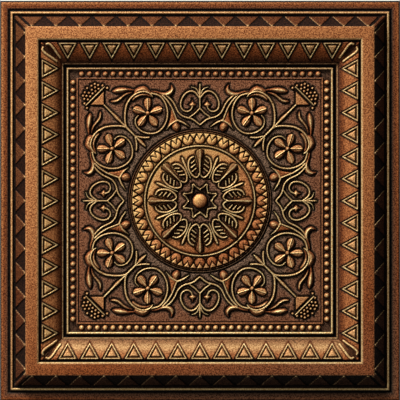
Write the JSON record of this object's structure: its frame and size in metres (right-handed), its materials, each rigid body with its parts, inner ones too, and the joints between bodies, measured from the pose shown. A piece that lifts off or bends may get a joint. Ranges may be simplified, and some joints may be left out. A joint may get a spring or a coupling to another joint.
{
  "type": "polystyrene ceiling tile",
  "caption": "Square moulded foam ceiling tile with a raised coffer frame, friezes, beading and a relief medallion on a sunken panel.",
  "frame": {"origin": "middle of the flat back, on the surface the tile lies on", "axes": "+Z out of the decorated face; X and Y along the tile's sides"},
  "size_m": [0.5, 0.5, 0.02],
  "materials": {
    "tile": "painted foam, antique copper rubbed over black"
  },
  "bodies": {
    "root": {"ceiling_tile": "tile"}
  },
  "joints": []
}
